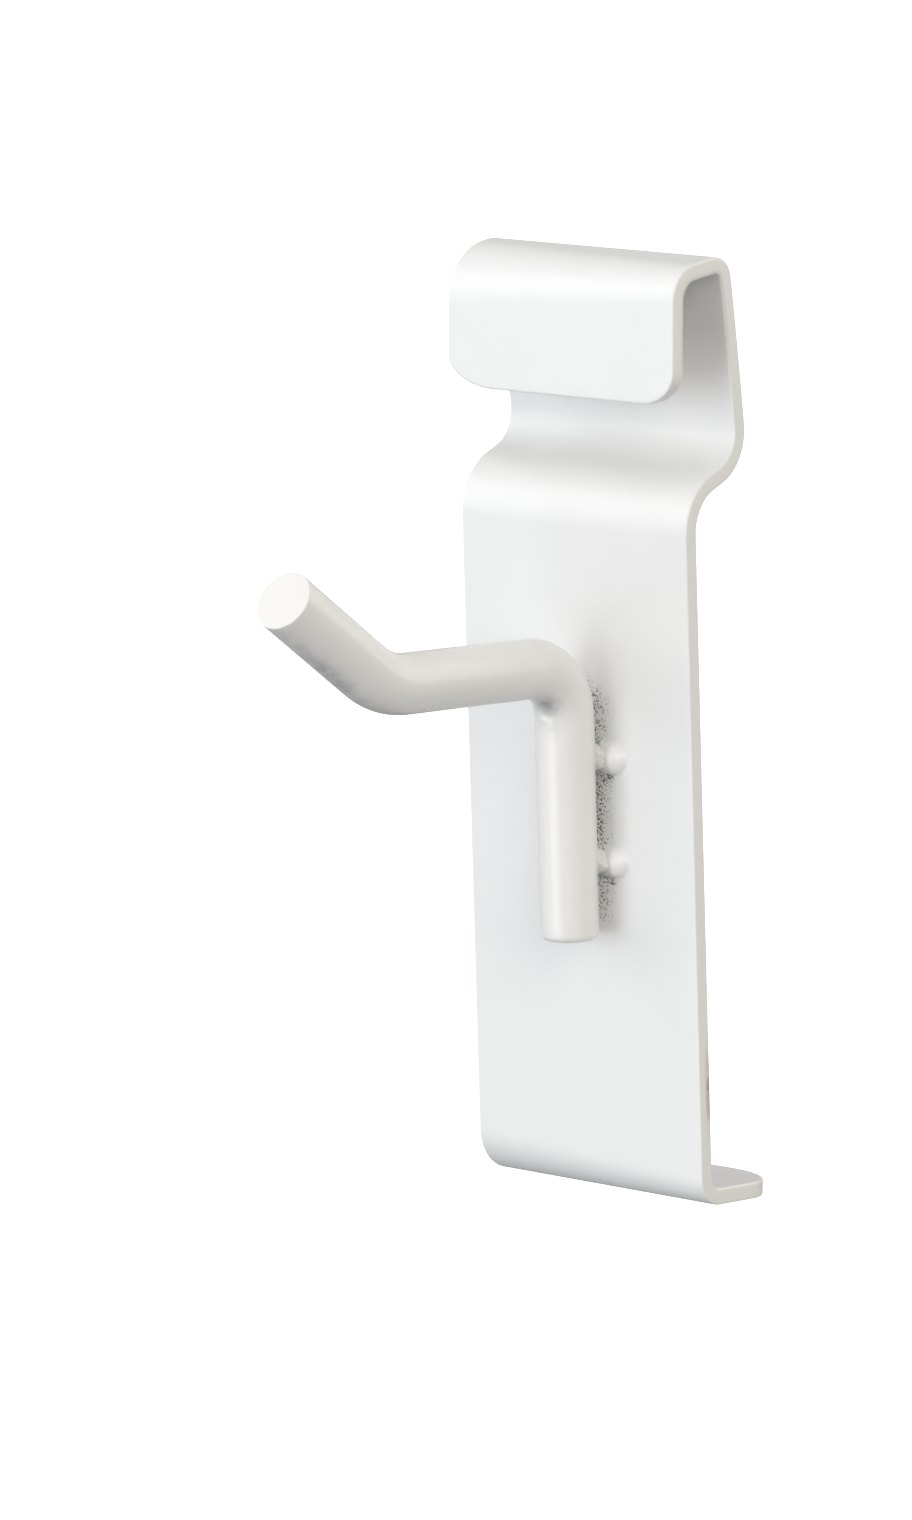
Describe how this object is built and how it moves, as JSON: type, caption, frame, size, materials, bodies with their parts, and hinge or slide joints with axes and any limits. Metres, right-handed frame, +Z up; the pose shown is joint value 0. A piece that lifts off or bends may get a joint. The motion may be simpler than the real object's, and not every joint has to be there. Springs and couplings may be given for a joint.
{
  "type": "gridwall display hook",
  "caption": "Short display peg for a wire grid wall: bent steel strip that hooks over one grid wire and tucks under the next, with a welded round wire peg turned up at its tip.",
  "frame": {"origin": "middle of the seat, the flat under the crown that rests on the upper grid wire", "axes": "+Z up, +Y from the peg towards the grid, +X along the grid wires; the peg points to -Y"},
  "size_m": [0.026, 0.0539, 0.0855],
  "materials": {
    "plate_coat": "gloss white powder coat",
    "peg_coat": "gloss white powder coat",
    "weld_coat": "white powder coat over a rough weld"
  },
  "bodies": {
    "root": {"back_plate": "plate_coat", "hook_wire": "peg_coat", "upper_weld": "weld_coat", "lower_weld": "weld_coat"}
  },
  "joints": []
}
